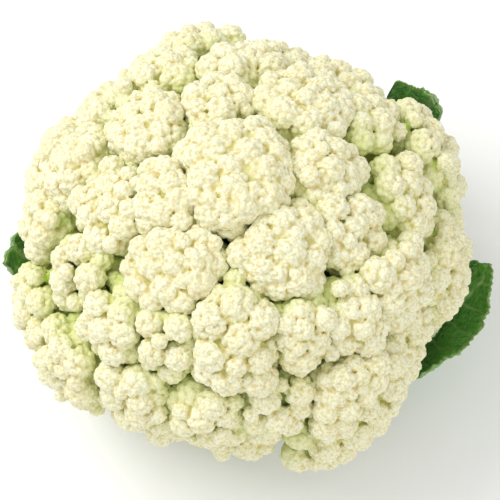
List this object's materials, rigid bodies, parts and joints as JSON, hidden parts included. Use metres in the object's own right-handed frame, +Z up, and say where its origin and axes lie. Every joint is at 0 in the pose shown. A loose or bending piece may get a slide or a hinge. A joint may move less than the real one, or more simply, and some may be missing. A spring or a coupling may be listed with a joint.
{
  "type": "cauliflower head",
  "caption": "Whole white cauliflower head: pressed domed florets branching from a thick stalk cut flat to stand on, cupped by a few trimmed green wrapper leaves.",
  "frame": {"origin": "centre of the flat cut under the stalk, on the surface that the head stands on", "axes": "+Z up the stalk to the crown, -Y the side seen first, +X the side with the large leaf"},
  "size_m": [0.197, 0.174, 0.1344],
  "materials": {
    "curd": "cream, finely grained, matt with a faint moist sheen",
    "stalk": "pale green, smooth, slightly moist",
    "leaf": "dark green with a waxy sheen and pale veins"
  },
  "bodies": {
    "root": {"crown_floret_1": "curd", "crown_floret_2": "curd", "crown_floret_3": "curd", "crown_floret_4": "curd", "crown_floret_5": "curd", "crown_floret_6": "curd", "crown_floret_7": "curd", "crown_floret_8": "curd", "rim_floret_1": "curd", "rim_floret_10": "curd", "rim_floret_11": "curd", "rim_floret_12": "curd", "rim_floret_13": "curd", "rim_floret_14": "curd", "rim_floret_15": "curd", "rim_floret_2": "curd", "rim_floret_3": "curd", "rim_floret_4": "curd", "rim_floret_5": "curd", "rim_floret_6": "curd", "rim_floret_7": "curd", "rim_floret_8": "curd", "rim_floret_9": "curd", "shoulder_floret_1": "curd", "shoulder_floret_10": "curd", "shoulder_floret_11": "curd", "shoulder_floret_12": "curd", "shoulder_floret_13": "curd", "shoulder_floret_14": "curd", "shoulder_floret_2": "curd", "shoulder_floret_3": "curd", "shoulder_floret_4": "curd", "shoulder_floret_5": "curd", "shoulder_floret_6": "curd", "shoulder_floret_7": "curd", "shoulder_floret_8": "curd", "shoulder_floret_9": "curd", "skirt_floret_1": "curd", "skirt_floret_10": "curd", "skirt_floret_11": "curd", "skirt_floret_12": "curd", "skirt_floret_13": "curd", "skirt_floret_2": "curd", "skirt_floret_3": "curd", "skirt_floret_4": "curd", "skirt_floret_5": "curd", "skirt_floret_6": "curd", "skirt_floret_7": "curd", "skirt_floret_8": "curd", "skirt_floret_9": "curd", "stalk": "stalk", "trimmed_leaf_1": "leaf", "trimmed_leaf_2": "leaf", "trimmed_leaf_3": "leaf", "trimmed_leaf_4": "leaf", "wrapper_leaf_back": "leaf", "wrapper_leaf_left": "leaf", "wrapper_leaf_right": "leaf"}
  },
  "joints": []
}
